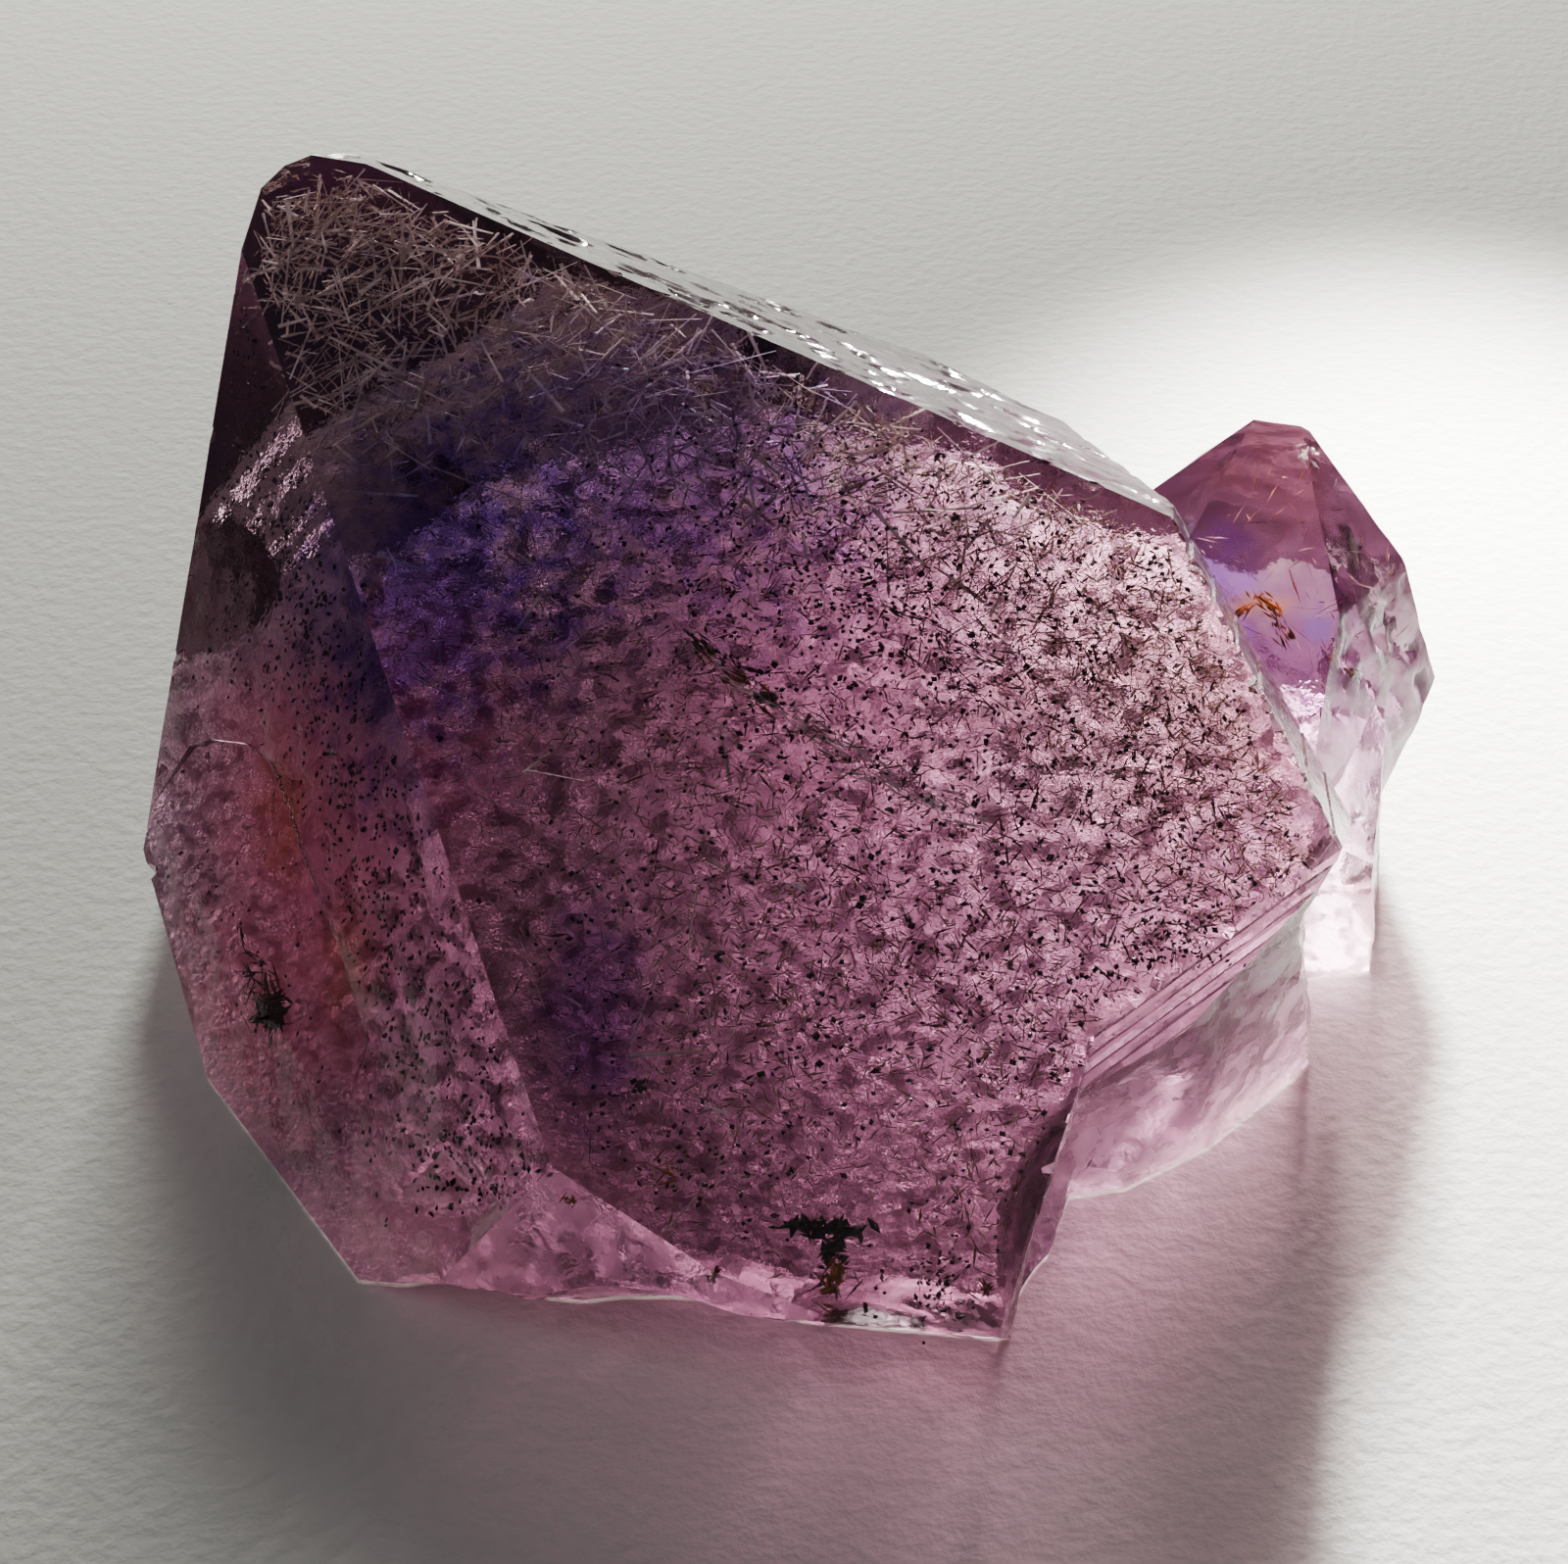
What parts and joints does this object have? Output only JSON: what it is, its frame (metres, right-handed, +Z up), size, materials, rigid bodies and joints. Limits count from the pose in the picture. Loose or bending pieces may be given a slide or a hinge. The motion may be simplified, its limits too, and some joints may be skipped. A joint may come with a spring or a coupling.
{
  "type": "amethyst point",
  "caption": "Low violet quartz point with a smaller side crystal and a broken root, clear, zoned and full of fine needles and specks, lying on its flat base",
  "frame": {"origin": "a point near the middle of the flat face that it rests on", "axes": "+Z up from the resting face; +X to the right and +Y away from a viewer who looks at the large sloping face"},
  "size_m": [0.0471, 0.0549, 0.0215],
  "materials": {
    "amethyst": "natural glassy crystal faces, finely striated and pitted, see-through"
  },
  "bodies": {
    "root": {"amethyst_point": "amethyst"}
  },
  "joints": []
}
